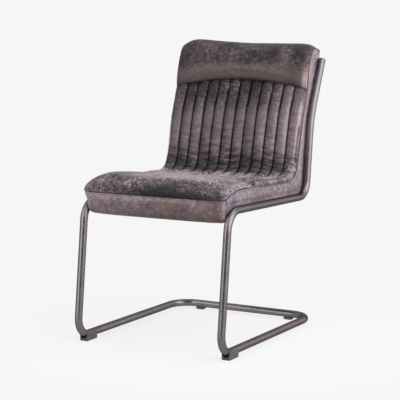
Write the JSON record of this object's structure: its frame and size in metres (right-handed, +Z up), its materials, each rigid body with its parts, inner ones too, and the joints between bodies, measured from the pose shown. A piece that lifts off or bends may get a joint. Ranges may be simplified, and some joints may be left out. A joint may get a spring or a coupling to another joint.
{
  "type": "cantilever dining chair",
  "caption": "Cantilever dining chair: bent steel tube sled frame with a continuous leather cushion that has a smooth front roll, sewn channels through seat and back, and a padded headrest.",
  "frame": {"origin": "on the floor, midway across the chair and midway along its depth", "axes": "+Z up, -Y the way the sitter faces, +X to the right of someone who stands in front of the chair"},
  "size_m": [0.4942, 0.6626, 0.8518],
  "materials": {
    "tube_steel": "satin",
    "foot_plastic": "matte",
    "hardware": "satin",
    "plywood": "matte",
    "foam": "matte",
    "leather": "satin",
    "dust_cloth": "matte"
  },
  "bodies": {
    "root": {"left_frame_tube": "tube_steel", "right_frame_tube": "tube_steel", "joint_sleeve": "hardware", "tube_end_caps": "foot_plastic", "front_foot_left": "foot_plastic", "front_foot_right": "foot_plastic", "rear_foot_left": "foot_plastic", "rear_foot_right": "foot_plastic", "foot_screws": "hardware", "front_seat_bar": "tube_steel", "rear_seat_bar": "tube_steel", "lower_back_bar": "tube_steel", "upper_back_bar": "tube_steel", "corner_straps": "hardware", "strap_screws": "hardware", "seat_bolts": "hardware", "back_bolts": "hardware", "seat_board": "plywood", "back_board": "plywood", "front_boxing": "leather", "outside_back": "leather", "dust_cover": "dust_cloth", "left_side_panel": "leather", "right_side_panel": "leather", "seat_foam": "foam", "back_foam": "foam", "front_roll": "leather", "ribbed_panel": "leather", "headrest": "leather"}
  },
  "joints": []
}
